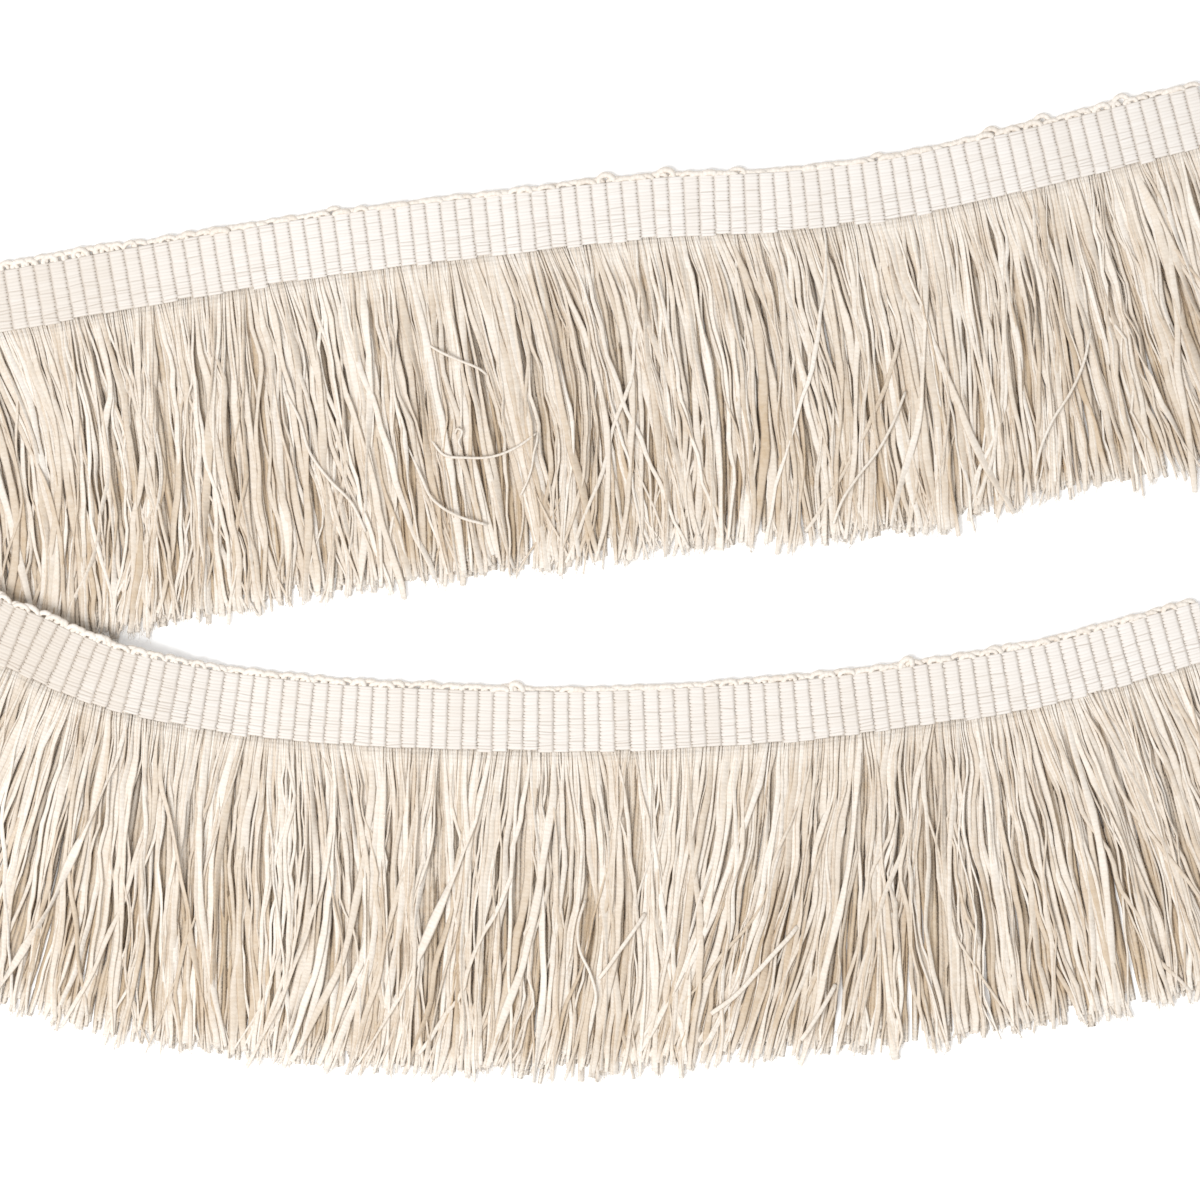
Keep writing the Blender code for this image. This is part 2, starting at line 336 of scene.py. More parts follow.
def bandFaces(rings, corners, flipped):
    # quads between neighbouring rings of one closed band, and a single flat cap at each end
    ring = np.arange(corners)
    after = np.roll(ring, -1)
    base = np.arange(rings - 1)[:, None] * corners
    quads = np.stack([base + ring, base + after, base + after + corners, base + ring + corners], axis=-1)
    caps = [ring[::-1], (rings - 1) * corners + ring]
    if flipped:
        quads, caps = quads[..., ::-1], [cap[::-1] for cap in caps]
    starts = np.concatenate([np.arange(0, quads.size, 4), [quads.size, quads.size + corners]])
    return np.concatenate([quads.ravel(), *caps]), starts


def levelFrame(centres):
    # the way ahead along each centre line, the level direction to its side, and the direction square to both
    ahead = np.gradient(centres, axis=1)
    ahead /= np.linalg.norm(ahead, axis=2, keepdims=True)
    sideways = np.cross(ahead, np.array([0.0, 0.0, 1.0]))
    sideways /= np.maximum(np.linalg.norm(sideways, axis=2, keepdims=True), 1e-6)
    return ahead, sideways, np.cross(sideways, ahead)


sectionPower = 0.7  # below 1, it squares the oval section of a yarn a little


def tubesPiece(name, centres, sideways, upwards, halfWidth, halfHeight, sides, material, tone):
    # an oval section of halfWidth by halfHeight, a little squared, carried along every centre line at once
    angle = np.arange(sides) / sides * 2 * math.pi
    wide = np.sign(np.cos(angle)) * np.abs(np.cos(angle)) ** sectionPower
    tall = np.sign(np.sin(angle)) * np.abs(np.sin(angle)) ** sectionPower
    points = (
        centres[:, :, None]
        + sideways[:, :, None] * (halfWidth[..., None] * wide)[..., None]
        + upwards[:, :, None] * (halfHeight[..., None] * tall)[..., None]
    )
    tubes, rings = centres.shape[:2]
    steps = np.linalg.norm(np.diff(centres, axis=1), axis=2)
    lengthwise = np.concatenate([np.zeros((tubes, 1)), np.cumsum(steps, axis=1)], axis=1)
    place = np.empty(points.shape)
    place[..., 0] = lengthwise[:, :, None]
    place[..., 1] = np.abs(np.cos(angle))
    place[..., 2] = tone if np.ndim(tone) == 3 else np.reshape(tone, (tubes, 1, 1))
    forward = np.cross(sideways[0, 0], upwards[0, 0]) @ (centres[0, 1] - centres[0, 0])
    quads = tubeFaces(tubes, rings, sides, forward < 0)
    yarn = {"yarnPlace": place.reshape(-1, 3)}
    return meshPiece(name, points.reshape(-1, 3), quads.ravel(), np.arange(0, quads.size, 4), material, yarn)


# materials

clothShine = {"specular": 0.2, "sheenRoughness": 0.6}


def nodeTree(name, roughness, sheen):
    material = bpy.data.materials.new(name)
    material.use_nodes = True
    shader = material.node_tree.nodes["Principled BSDF"]
    shader.inputs["Roughness"].default_value = roughness
    shader.inputs["Specular IOR Level"].default_value = clothShine["specular"]
    shader.inputs["Sheen Weight"].default_value = sheen
    shader.inputs["Sheen Roughness"].default_value = clothShine["sheenRoughness"]
    return material, material.node_tree, shader


def mathNode(tree, operation, first, second=None, third=None):
    node = tree.nodes.new("ShaderNodeMath")
    node.operation = operation
    for socket, value in zip(node.inputs, (first, second, third)):
        if value is None:
            continue
        if isinstance(value, (int, float)):
            socket.default_value = value
        else:
            tree.links.new(value, socket)
    return node.outputs[0]


def mixNode(tree, factor, first, second, blend="MIX"):
    node = tree.nodes.new("ShaderNodeMix")
    node.data_type = "RGBA"
    node.blend_type = blend
    for key, value in (("Factor", factor), ("A", first), ("B", second)):
        socket = [s for s in node.inputs if s.name == key and s.enabled][0]
        if isinstance(value, (int, float)):
            socket.default_value = value
        elif isinstance(value, tuple):
            socket.default_value = (*value, 1.0)
        else:
            tree.links.new(value, socket)
    return [s for s in node.outputs if s.enabled][0]


def noiseNode(tree, vector, scale, detail):
    node = tree.nodes.new("ShaderNodeTexNoise")
    node.inputs["Scale"].default_value = scale
    node.inputs["Detail"].default_value = detail
    tree.links.new(vector, node.inputs["Vector"])
    return node.outputs["Fac"]


def placeNode(tree, key):
    node = tree.nodes.new("ShaderNodeAttribute")
    node.attribute_name = key
    apart = tree.nodes.new("ShaderNodeSeparateXYZ")
    tree.links.new(node.outputs["Vector"], apart.inputs[0])
    return apart.outputs


def bumpNode(tree, shader, height, strength, distance):
    node = tree.nodes.new("ShaderNodeBump")
    node.inputs["Strength"].default_value = strength
    node.inputs["Distance"].default_value = distance
    tree.links.new(height, node.inputs["Height"])
    tree.links.new(node.outputs["Normal"], shader.inputs["Normal"])


yarnLook = {
    "light": (0.86, 0.825, 0.775),
    "dark": (0.56, 0.445, 0.315),
    # painted shade: the flank colour darkens the sides of each yarn, where light falls off round it
    "flankShade": (0.79, 0.65, 0.50),
    "flankShadeShare": 0.50,
    "fleck": 0.5,
    "fleckScale": 650.0,
    "fleckHeight": 4.0,
    "patch": 0.5,
    "patchScale": 70.0,
    "fibre": (0.42, 0.33, 0.24),
    "fibreShare": 0.22,
    "fibreScale": 2600.0,
    "fibreHeight": 0.4,
    # painted shade: the stitch colour darkens the grooves of the knit
    "stitchAndShade": (0.46, 0.37, 0.27),
    "stitchShadeShare": 0.09,
    "stitchPitch": 0.0011,
    "stitchSlant": 2.4,
    "bumpStrength": 0.45,
    "bumpDistance": 0.00012,
    "roughness": 0.85,
    "sheen": 0.15,
}
loopLook = {**yarnLook, "light": (0.87, 0.835, 0.79), "dark": (0.74, 0.66, 0.57)}


def yarnMaterial(name, look):
    material, tree, shader = nodeTree(name, look["roughness"], look["sheen"])
    lengthwise, chevron, tone = placeNode(tree, "yarnPlace")
    objectPlace = tree.nodes.new("ShaderNodeTexCoord").outputs["Object"]
    fibre = noiseNode(tree, objectPlace, look["fibreScale"], 3.0)
    patch = noiseNode(tree, objectPlace, look["patchScale"], 2.0)
    fleck = noiseNode(tree, objectPlace, look["fleckScale"], 2.0)
    # stitches: a sine along the yarn whose phase slants with the place round it, so that it makes V shapes
    turns = mathNode(tree, "MULTIPLY", lengthwise, 2 * math.pi / look["stitchPitch"])
    slanted = mathNode(tree, "MULTIPLY_ADD", chevron, look["stitchSlant"], turns)
    stitchAndShade = mathNode(tree, "MULTIPLY_ADD", mathNode(tree, "SINE", slanted), 0.5, 0.5)
    # how dark: the yarn's own tone, and the patch and fleck noises on either side of it
    uneven = mathNode(tree, "SUBTRACT", tone, (look["patch"] + look["fleck"]) / 2)
    uneven = mathNode(tree, "MULTIPLY_ADD", patch, look["patch"], uneven)
    uneven = mathNode(tree, "MULTIPLY_ADD", fleck, look["fleck"], uneven)
    mixed = mixNode(tree, uneven, look["light"], look["dark"])
    fibreShare = mathNode(tree, "MULTIPLY", fibre, look["fibreShare"])
    fibrous = mixNode(tree, fibreShare, mixed, look["fibre"], "MULTIPLY")
    # painted shade: the knit's grooves, where the stitch sine is low, are mixed towards the stitch colour
    paintedGrooveShade = mathNode(tree, "MULTIPLY_ADD", stitchAndShade, -look["stitchShadeShare"], look["stitchShadeShare"])
    grooveShaded = mixNode(tree, paintedGrooveShade, fibrous, look["stitchAndShade"])
    # painted shade: the sides of the yarn are darkened towards the flank colour by the square of the place
    # round it
    flankShade = mathNode(tree, "MULTIPLY", mathNode(tree, "MULTIPLY", chevron, chevron), look["flankShadeShare"])
    tree.links.new(mixNode(tree, flankShade, grooveShaded, look["flankShade"], "MULTIPLY"), shader.inputs["Base Color"])
    height = mathNode(tree, "MULTIPLY_ADD", fibre, look["fibreHeight"], stitchAndShade)
    height = mathNode(tree, "MULTIPLY_ADD", fleck, look["fleckHeight"], height)
    bumpNode(tree, shader, height, look["bumpStrength"], look["bumpDistance"])
    return material


tapeLook = {
    "cream": (0.80, 0.767, 0.735),
    "warm": (0.66, 0.60, 0.535),
    # painted shade: the colour of the shade in the tape's valleys, thread grooves and hairlines
    "valley": (0.35, 0.275, 0.205),
    "fibre": (0.55, 0.46, 0.36),
    "fibreShare": 0.12,
    "fibreScale": 3200.0,
    "bumpStrength": 0.4,
    "bumpDistance": 0.00008,
    "roughness": 0.8,
    "sheen": 0.1,
}


def tapeMaterial(name, look):
    material, tree, shader = nodeTree(name, look["roughness"], look["sheen"])
    grooveShade, tone, _ = placeNode(tree, "clothPlace")
    objectPlace = tree.nodes.new("ShaderNodeTexCoord").outputs["Object"]
    fibre = noiseNode(tree, objectPlace, look["fibreScale"], 3.0)
    base = mixNode(tree, tone, look["cream"], look["warm"])
    # painted shade: the valley colour mixed in by each point's groove shade share
    paintedGrooveShade = mixNode(tree, grooveShade, base, look["valley"])
    fibreShare = mathNode(tree, "MULTIPLY", fibre, look["fibreShare"])
    fibrous = mixNode(tree, fibreShare, paintedGrooveShade, look["fibre"], "MULTIPLY")
    tree.links.new(fibrous, shader.inputs["Base Color"])
    bumpNode(tree, shader, fibre, look["bumpStrength"], look["bumpDistance"])
    return material


# heading

# Hairlines are grooves that stand open, with painted shade in them. The chance that one starts, and that it
# runs on over the next rib, is given as the least, what is added to it, and the shares of the width where that
# begins and that it takes.
hairlineLook = {
    "starts": (0.04, 0.46, 0.3, 0.5),
    "runsOn": (0.5, 0.2, 0.4, 0.4),
    "strength": (0.1, 0.55),
    "neighbour": 0.12,
}


def chanceAcross(grooves, least, added, begins, takes):
    # a chance for each groove: the least at the top edge, eased up by what is added towards the root edge
    return least + added * eased((np.linspace(0.0, 1.0, grooves) - begins) / takes)


def hairlines(ribs, grooves, chance):
    # how far each groove stands open at each rib: a run goes on along the tape until a draw ends it
    starts = chanceAcross(grooves, *hairlineLook["starts"])
    runsOn = chanceAcross(grooves, *hairlineLook["runsOn"])
    opened = np.zeros((ribs, grooves))
    running = np.zeros(grooves, bool)
    for rib in range(ribs):
        running = np.where(running, chance.random(grooves) < runsOn, chance.random(grooves) < starts)
        opened[rib] = running * chance.uniform(*hairlineLook["strength"], grooves)
    return opened


def tapeTones(passNumber, along, rib, thread, ribs, chance):
    # the share of the warm colour: drawn for each rib and thread, and added at both ends as in the photo
    ribTone = chance.normal(0.0, heading["toneSpread"], ribs + 1)[rib][:, None]
    threadTone = chance.normal(0.0, heading["toneSpread"], (ribs + 1, heading["threads"] + 1))[rib][:, thread]
    x = pageX(along)
    warmth = heading["leftTone"][passNumber] * (1.0 - eased(x / heading["leftReach"][passNumber]))
    rightShare = eased((x - heading["rightFrom"]) / heading["rightRun"])
    warmth = warmth + heading["rightTone"][passNumber] * rightShare
    warmth = warmth + heading["plainTone"][passNumber]
    return np.clip(ribTone + threadTone + warmth[:, None], 0.0, 1.0)


def tapeRings(start, end):
    # the number of ribs, and for the ring at each rib phase its rib, its phase and its length along
    pitch, phases = heading["ribPitch"], np.array(heading["ribPhases"])
    firstRib, lastRib = math.floor(start / pitch), math.ceil(end / pitch)
    ribs = lastRib - firstRib
    phase = np.concatenate([np.tile(phases, ribs), [0.0]])
    rib = np.concatenate([np.repeat(np.arange(ribs), len(phases)), [ribs]])
    along = np.clip((firstRib + rib + phase) * pitch, start, end)
    kept = np.concatenate([[True], np.diff(along) > 1e-6])
    return ribs, rib[kept], phase[kept], along[kept]


def tapeThreads():
    # the points across the upper side, four to a thread: each one's thread, its spot on that, and its place
    threads, spots = heading["threads"], len(heading["threadHeights"])
    thread = np.concatenate([np.repeat(np.arange(threads), spots), [threads]])
    spot = np.concatenate([np.tile(np.arange(spots), threads), [0]])
    return thread, spot, (thread + spot / spots) / threads * heading["width"] - heading["width"] / 2


def tapeSpread(ribs, rib, phase, chance):
    # the places across with an uneven root edge for each rib, and with threads that wander from rib to rib
    thread, spot, across = tapeThreads()
    threads, spots = heading["threads"], len(heading["threadHeights"])
    ribEdge = chance.normal(0.0, heading["rootEdgeUneven"], ribs + 1)[rib][:, None]
    wander = chance.normal(0.0, heading["threadWander"], (ribs + 2, threads + 2))
    wander[:, [0, threads]] = 0.0
    between = wander[rib] * (1.0 - phase)[:, None] + wander[rib + 1] * phase[:, None]
    aside = between[:, thread] * (1.0 - spot / spots) + between[:, thread + 1] * spot / spots
    return across[None] + ribEdge * eased(across / heading["width"] * 2)[None] + aside


def tapeHeight(ribHeight, threadHeight, across, opened, fading):
    # half the thickness, less the depths of ribs, threads and hairlines, and less a square root at the edges
    edge = np.minimum(across + heading["width"] / 2, heading["width"] / 2 - across)
    roundOff = np.sqrt(np.clip(edge / heading["edgeRound"], 0.0, 1.0))
    edgeDrop = np.where(across < 0, heading["topEdgeDrop"], heading["rootEdgeDrop"])
    threadShare = heading["threadInValley"] + (1.0 - heading["threadInValley"]) * fading
    depth = heading["ribDepth"] * (1.0 - ribHeight)[:, None]
    depth = depth + heading["threadDepth"] * (1.0 - threadHeight)[None] * threadShare
    depth = depth + heading["hairlineDepth"] * opened * fading
    return heading["thickness"] / 2 - depth - (1.0 - roundOff) * edgeDrop


def headingPiece(name, start, end, upSign, material, chance):
    # rings across the tape: fine across the upper side, where the valleys zigzag, and plain across the other
    ribs, rib, phase, along = tapeRings(start, end)
    thread, spot, across = tapeThreads()
    threads, threadHeight = heading["threads"], np.array(heading["threadHeights"])[spot]
    ribHeight = np.interp(phase, heading["ribPhases"], heading["ribHeights"], period=1.0)
    nearValley = np.clip(1.0 - np.minimum(phase, 1.0 - phase) / heading["valleyShare"], 0.0, 1.0)[:, None]
    fading = 1.0 - nearValley

    tooth = chance.normal(0.0, heading["toothChance"], (ribs + 1, threads + 1))[rib][:, thread]
    zigzag = heading["zigzag"] * np.where(spot == 0, 1.0, -heading["zigzagBack"])[None] + tooth
    shifted = np.clip(along[:, None] + nearValley * zigzag, 0.0, routeLength)
    line = hairlines(ribs + 1, threads + 1, chance)[rib]
    nextLine = hairlineLook["neighbour"] * line[:, np.minimum(thread + 1, threads)]
    opened = line[:, thread] * (spot == 0) + nextLine * (spot == spot.max())
    height = tapeHeight(ribHeight, threadHeight, across, opened, fading)
    top = onTrim(shifted, tapeSpread(ribs, rib, phase, chance), upSign * height)

    under = np.linspace(heading["width"] / 2, -heading["width"] / 2, heading["undersidePoints"] + 2)[1:-1]
    underDepth = heading["undersideRibDepth"] * (1.0 - ribHeight)[:, None]
    underHeight = np.repeat(underDepth - heading["thickness"] / 2, len(under), axis=1)
    underAlong = np.broadcast_to(along[:, None], underHeight.shape)
    bottom = onTrim(underAlong, np.broadcast_to(under, underHeight.shape), upSign * underHeight)
    points = np.concatenate([top, bottom], axis=1)

    # painted shade: a share of the valley colour in the valleys, between the threads and in the open hairlines
    grooveShade = heading["valleyCrease"] + (1.0 - heading["valleyCrease"]) * (spot == 0)
    grooveShade = np.maximum(nearValley**2 * grooveShade, heading["threadGrooveShade"] * (1.0 - threadHeight)[None])
    place = np.zeros(points.shape)
    place[:, : len(across), 0] = np.maximum(grooveShade, opened * fading)
    place[:, : len(across), 1] = tapeTones(0 if upSign > 0 else 1, along, rib, thread, ribs, chance)
    place[:, len(across) :, 0] = heading["undersideValleyShade"] * nearValley**2
    place[:, len(across) :, 1] = heading["undersideTone"]
    loops, starts = bandFaces(*points.shape[:2], upSign < 0)
    cloth = {"clothPlace": place.reshape(-1, 3)}
    piece = meshPiece(name, points.reshape(-1, 3), loops, starts, material, cloth)
    return piece


# picot loops

# A pair is the least and the most of a draw, but for tone, where it is the mean and the spread.
picots = {
    "perRib": 1.5,
    "uneven": 0.25,
    "width": (0.0030, 0.0044),
    "reach": (0.0008, 0.0015),
    "largeShare": 0.06,
    "largeReach": 0.0025,
    "swellPitch": 0.030,
    "swell": (0.55, 1.3),
    "leftSwell": 0.7,
    "leftReach": 0.045,
    "slant": (-0.4, 0.4),
    "rise": (-0.0001, 0.0007),
    "footHeights": (-0.0003, 0.0004),
    "overlap": 0.0003,
    "roundness": 0.8,
    "thickness": 0.00145,
    "thicknessShare": (0.8, 1.15),
    "tone": (0.12, 0.10),
    "rings": 10,
    "sides": 6,
    "endGap": 0.001,
    "seed": 8,
}


def picotPiece(name, start, end, material, chance):
    # half ovals that stand out from the top edge: a cosine along it, a sine away from it, and a small rise
    count = int((end - start) / heading["ribPitch"] * picots["perRib"])
    aside = chance.uniform(-picots["uneven"], picots["uneven"], count)
    middle = start + (np.arange(count) + 0.5 + aside) * (end - start) / count
    halfWide = chance.uniform(*picots["width"], count) / 2
    reach = chance.uniform(*picots["reach"], count)
    reach = np.where(chance.random(count) < picots["largeShare"], picots["largeReach"], reach)
    knots = np.arange(start, end + picots["swellPitch"], picots["swellPitch"])
    reach = reach * np.interp(middle, knots, chance.uniform(*picots["swell"], len(knots)))
    reach = reach * (1.0 + picots["leftSwell"] * (1.0 - eased(pageX(middle) / picots["leftReach"])))
    slant = chance.uniform(*picots["slant"], count) * reach
    rise = chance.uniform(*picots["rise"], count)
    angle = np.linspace(0.0, math.pi, picots["rings"])
    along = middle[:, None] - halfWide[:, None] * np.cos(angle) + slant[:, None] * np.sin(angle)
    across = picots["overlap"] - heading["width"] / 2 - reach[:, None] * np.sin(angle) ** picots["roundness"]
    up = np.where(turnedShare(middle) > 0.5, -1.0, 1.0)[:, None]
    height = up * (rise[:, None] * np.sin(angle) + chance.uniform(*picots["footHeights"], (count, 1)))
    centres = onTrim(np.clip(along, 0.0, routeLength), across, height)
    _, sideways, upwards = levelFrame(centres)
    thickness = picots["thickness"] * chance.uniform(*picots["thicknessShare"], (count, 1))
    half = np.repeat(thickness / 2, picots["rings"], axis=1)
    tone = np.clip(chance.normal(*picots["tone"], count), 0.0, 1.0)
    piece = tubesPiece(name, centres, sideways, upwards, half, half, picots["sides"], material, tone)
    return piece


# fringe

# A pair is the least and the most of a draw. From, by, to and over are shares of a yarn's length.
fringe = {
    "length": 0.0835,
    "uneven": 0.0013,
    "clumpUneven": 0.0009,
    "rootUneven": 0.4,
    "rootInset": 0.0008,
    "loosest": 1.4,
    "tighter": 0.6,
    "usualWidth": 0.0015,
    "waveLengths": (0.047, 0.025, 0.0135),
    "waveSizes": (0.00100, 0.00050, 0.00026),
    "waveSpread": (0.8, 1.25),
    "wavesBy": 0.2,
    "groupPitch": 0.022,
    "gatherPower": 1.3,
    "leanPower": 1.5,
    "tipsFrom": 0.45,
    "paleEnds": 0.85,
    "paleEndsFrom": 0.92,
    # painted light: the roots are made paler against the shade under the heading's edge
    "paintedLightRoots": 0.45,
    "paintedLightRootsTo": 0.14,
    "warmTips": 0.42,
    "warmFrom": 0.35,
    "warmOver": 0.25,
    "rootWidth": 0.52,
    "opensBy": (0.08, 0.35),
    "slub": 0.14,
    "slubTurns": (2.0, 6.0),
    "endTaper": (0.05, 0.5),
    "endTaperPower": 10,
    "ownRoll": 0.3,
    "twistTurns": (0.4, 1.8),
    "pile": 0.0023,
    "pileCrown": 0.2,
    "pileThins": 0.4,
    "pileThinsFrom": 0.6,
    "clumpLevel": 0.35,
    "restingHeight": 0.0004,
    "restsBy": 0.16,
    "ripple": 0.00012,
    "rippleTurns": (2.0, 5.0),
    "ripplePhase": 7.0,
    "dropsFrom": 0.36,
    "dropsOver": 0.26,
    "floorGap": 0.00003,
    "endGap": 0.0005,
    "seed": 21,
}

# The bed is a close layer of yarns that hides the floor, toned darker as painted shade for the shade deep
# between the face yarns, and the face is the lighter yarns on it. Each kind has its share of the yarns, its
# least width and its greatest. Leans are spreads in degrees, and tone has a mean and a spread.
layers = {
    "Bed": {
        "perRib": 8.3,
        "shorter": 0.0016,
        "rings": 14,
        "sides": 4,
        "kinds": ((0.7, 0.0017, 0.0023), (0.3, 0.0010, 0.0014)),
        "thickness": 0.0005,
        "levels": (0.0, 0.38),
        "rootHeights": (-0.0001, 0.0002),
        "clumpSize": (4, 12),
        "groupLean": 0.5,
        "clumpLean": 0.2,
        "groupBow": 0.0008,
        "clumpBow": 0.0003,
        "ownLean": 0.8,
        "tipLean": 1.0,
        "clumpTipLean": 0.0,
        "strayShare": 0.0,
        "strayLean": 0.0,
        "gather": (0.0, 0.06),
        "clumpWaves": 0.0,
        "ownWaves": 0.5,
        "twist": 0.25,
        # painted shade: the bed's tone is darker than the face's, for the shade deep between the face yarns
        "tone": (0.62, 0.15),
        "darkest": 1.0,
    },
    "Face": {
        "perRib": 6.9,
        "shorter": 0.0,
        "rings": 23,
        "sides": 6,
        "kinds": ((0.38, 0.0016, 0.0026), (0.38, 0.0010, 0.0015), (0.24, 0.0006, 0.0009)),
        "thickness": 0.00052,
        "levels": (0.42, 1.0),
        "rootHeights": (0.0002, 0.0004),
        "clumpSize": (3, 10),
        "groupLean": 2.6,
        "clumpLean": 2.9,
        "groupBow": 0.0022,
        "clumpBow": 0.0011,
        "ownLean": 2.0,
        "tipLean": 8.0,
        "clumpTipLean": 4.5,
        "strayShare": 0.13,
        "strayLean": 7.0,
        "gather": (0.0, 0.48),
        "clumpWaves": 0.5,
        "ownWaves": 0.55,
        "twist": 0.75,
        "tone": (0.29, 0.17),
        "darkest": 0.6,
    },
}


def clumpsOf(count, sizes, chance):
    # neighbours put in clumps of drawn sizes: each yarn's clump, and the middle of that clump in yarns
    ends = np.cumsum(chance.integers(*sizes, count))
    number = np.searchsorted(ends, np.arange(count), side="right")
    middle = np.array([np.arange(count)[number == k].mean() for k in range(number[-1] + 1)])
    return number, middle[number]


def column(values):
    # one value for each yarn, ready to spread along it
    return np.asarray(values)[:, None]


def waveOffsets(number, scale, length, share, chance):
    # the sum of three sines along each yarn, each drawn once for all yarns of the same number
    drawn, waves = number[-1] + 1, 0.0
    for waveLength, size in zip(fringe["waveLengths"], fringe["waveSizes"]):
        turns = column(length / (waveLength * chance.uniform(*fringe["waveSpread"], drawn)[number])) * share
        phase = chance.random(drawn)[number]
        sizes = chance.normal(0.0, size, drawn)[number] * scale
        waves = waves + column(sizes) * np.sin(2 * math.pi * (turns + column(phase)))
    return waves


def yarnLengths(look, along, over, number, chance):
    # the plain length, drawn a little uneven for each yarn and each clump, and cut as the table says
    length = fringe["length"] - look["shorter"] + chance.normal(0.0, fringe["uneven"], len(along))
    length = length + chance.normal(0.0, fringe["clumpUneven"], number[-1] + 1)[number]
    firstCut, secondCut = readRows(cutLengths, pageX(along))
    return length + np.where(over, secondCut, firstCut)


def sideOffsets(look, share, length, loose, number, toMiddle, ownLean, groupBow, chance):
    # how far a yarn strays to the side: the gathering of its clump, its own lean and the turn of its tip grow
    # with powers of the share of the length, and its bow and its waves are sines of it
    count, clumps = len(length), number[-1] + 1
    tipTurn = chance.normal(0.0, 1.0, count)
    clumpTurn = tipTurn[np.searchsorted(number, np.arange(clumps))][number]
    tipLean = (look["tipLean"] * tipTurn + look["clumpTipLean"] * clumpTurn) * loose
    waves = waveOffsets(number, look["clumpWaves"], length, share, chance)
    waves = column(loose) * (waves + waveOffsets(np.arange(count), look["ownWaves"], length, share, chance))
    gather = chance.uniform(*look["gather"], clumps)[number] * toMiddle
    bow = groupBow + chance.normal(0.0, look["clumpBow"], clumps)[number]
    tipsOver = 1.0 - fringe["tipsFrom"]
    tips = np.clip((share - fringe["tipsFrom"]) / tipsOver, 0.0, 1.0)
    offset = column(gather) * share ** fringe["gatherPower"]
    offset = offset + column(np.tan(np.radians(ownLean)) * length) * share ** fringe["leanPower"]
    offset = offset + column(np.tan(np.radians(tipLean)) * length * tipsOver / 2) * tips**2
    offset = offset + column(bow) * np.sin(math.pi * share)
    return offset + waves * eased(share / fringe["wavesBy"])


def yarnHeights(look, share, along, rootHeight, number, stray, chance):
    # from the root to the yarn's own level in the pile, which has a crown and thins out to the tips; what the
    # fold lifts comes down on the way
    count, clumps = len(along), number[-1] + 1
    startHeight = column(rootHeight + chance.uniform(*look["rootHeights"], count))
    low, high = look["levels"]
    level = fringe["clumpLevel"] * chance.random(clumps)[number]
    level = level + (1.0 - fringe["clumpLevel"]) * chance.random(count)
    level = column(low + (high - low) * np.where(stray, 1.0, level))
    crown = 1.0 - fringe["pileCrown"] + fringe["pileCrown"] * np.sin(math.pi * share)
    thinning = eased((share - fringe["pileThinsFrom"]) / (1.0 - fringe["pileThinsFrom"]))
    pile = fringe["pile"] * crown * (1.0 - fringe["pileThins"] * thinning)
    turns = share * column(chance.uniform(*fringe["rippleTurns"], count)) + level * fringe["ripplePhase"]
    resting = fringe["restingHeight"] + level * pile + fringe["ripple"] * np.sin(2 * math.pi * turns)
    dropped = eased((share - fringe["dropsFrom"]) / fringe["dropsOver"])
    lifted = column(liftOf(along)) * (1.0 - dropped)
    return startHeight + (resting + lifted - startHeight) * eased(share / fringe["restsBy"])


def yarnHalfWidths(share, width, loose, chance):
    # narrow at the root, then opened, with a sine of swellings along it and a taper at the cut end
    count = len(width)
    opened = eased(share / column(chance.uniform(*fringe["opensBy"], count)))
    opening = fringe["rootWidth"] + (1.0 - fringe["rootWidth"]) * opened
    turns = share * column(chance.uniform(*fringe["slubTurns"], count)) + column(loose)
    slub = 1.0 + fringe["slub"] * np.sin(2 * math.pi * turns)
    taper = column(chance.uniform(*fringe["endTaper"], count)) * share ** fringe["endTaperPower"]
    return column(width) / 2 * opening * slub * (1.0 - taper)


def yarnRoll(look, share, count, chance):
    # the angle by which a flat yarn is turned about its own line: one of its own, plus a slow sine
    own = column(chance.normal(0.0, fringe["ownRoll"], count))
    twist = column(chance.normal(0.0, look["twist"], count))
    turns = share * column(chance.uniform(*fringe["twistTurns"], count)) + column(chance.random(count))
    return own + twist * np.sin(2 * math.pi * turns)


def yarnTones(look, share, count, chance):
    # the share of the dark colour: drawn for each yarn, paler at the cut end and darker to the tips, and paler
    # at the root as painted light against the heading's shade there
    tone = np.clip(chance.normal(*look["tone"], count), 0.0, look["darkest"])[:, None, None]
    paler = fringe["paleEnds"] * eased((share - fringe["paleEndsFrom"]) / (1.0 - fringe["paleEndsFrom"]))
    # painted light: paler near the root, against the shade under the heading's edge
    paler = paler + fringe["paintedLightRoots"] * (1.0 - eased(share / fringe["paintedLightRootsTo"]))
    warmer = fringe["warmTips"] * eased((share - fringe["warmFrom"]) / fringe["warmOver"])
    return tone * ((1.0 + warmer) * (1.0 - paler))[..., None]


